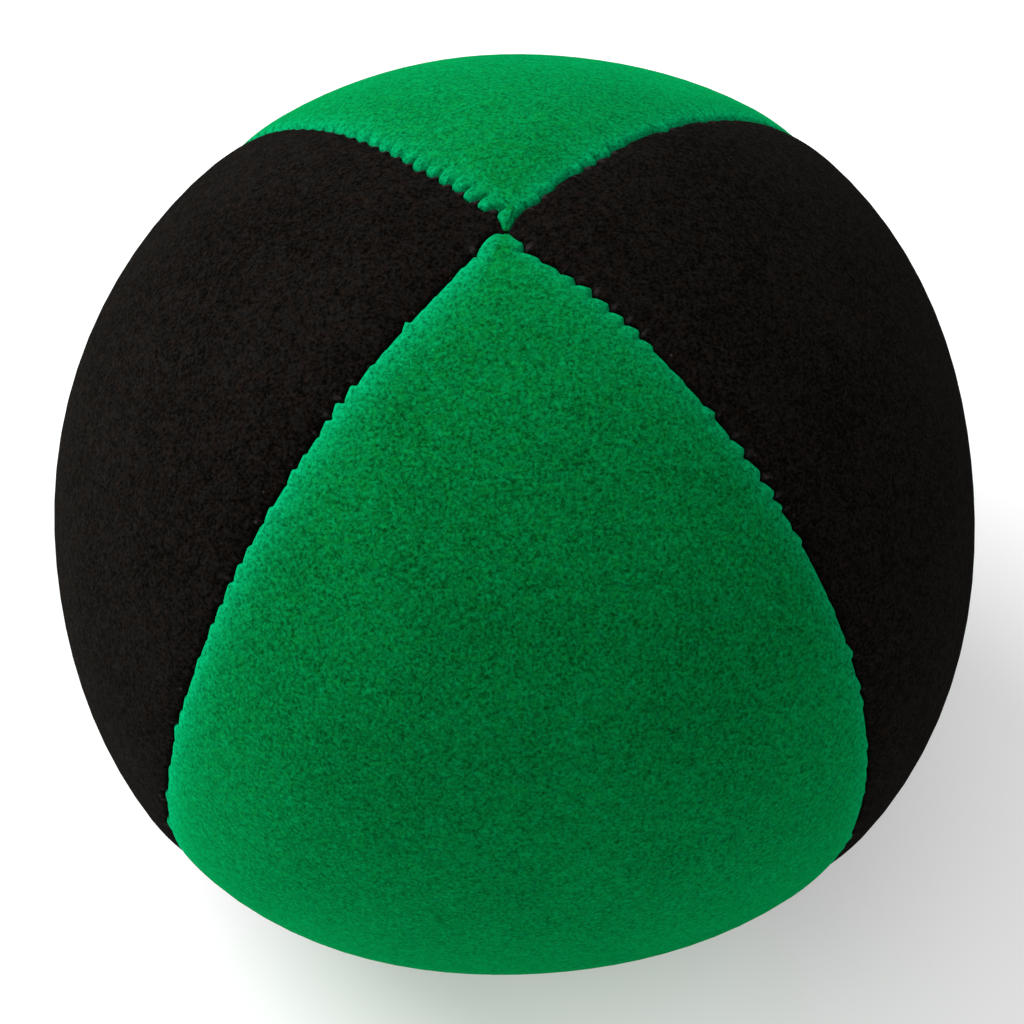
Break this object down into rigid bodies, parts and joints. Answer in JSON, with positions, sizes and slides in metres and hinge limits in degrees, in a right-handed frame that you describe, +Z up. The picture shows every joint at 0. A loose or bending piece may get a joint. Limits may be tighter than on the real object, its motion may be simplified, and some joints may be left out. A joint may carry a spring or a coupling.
{
  "type": "juggling ball",
  "caption": "Round sewn beanbag ball of alternating green and black velour gores, filled with grain, flat where it rests.",
  "frame": {"origin": "centre of the ball's bounding box", "axes": "+Z up through the two poles where the four panels meet; the front green panel faces -Y; +X to its right"},
  "size_m": [0.0668, 0.0668, 0.0648],
  "materials": {
    "green_velour": "short dense nap, matte with a soft sheen",
    "black_velour": "short dense nap, matte",
    "black_thread": "twisted polyester, satin",
    "millet": "small husked grain, satin"
  },
  "bodies": {
    "root": {"green_panel_front": "green_velour", "green_panel_rear": "green_velour", "black_panel_left": "black_velour", "black_panel_right": "black_velour", "front_left_needle_thread": "black_thread", "front_left_bobbin_thread": "black_thread", "rear_right_needle_thread": "black_thread", "rear_right_bobbin_thread": "black_thread", "joining_seam_needle_thread": "black_thread", "joining_seam_bobbin_thread": "black_thread", "closing_thread": "black_thread", "closing_knot": "black_thread", "millet_filling": "millet"}
  },
  "joints": []
}
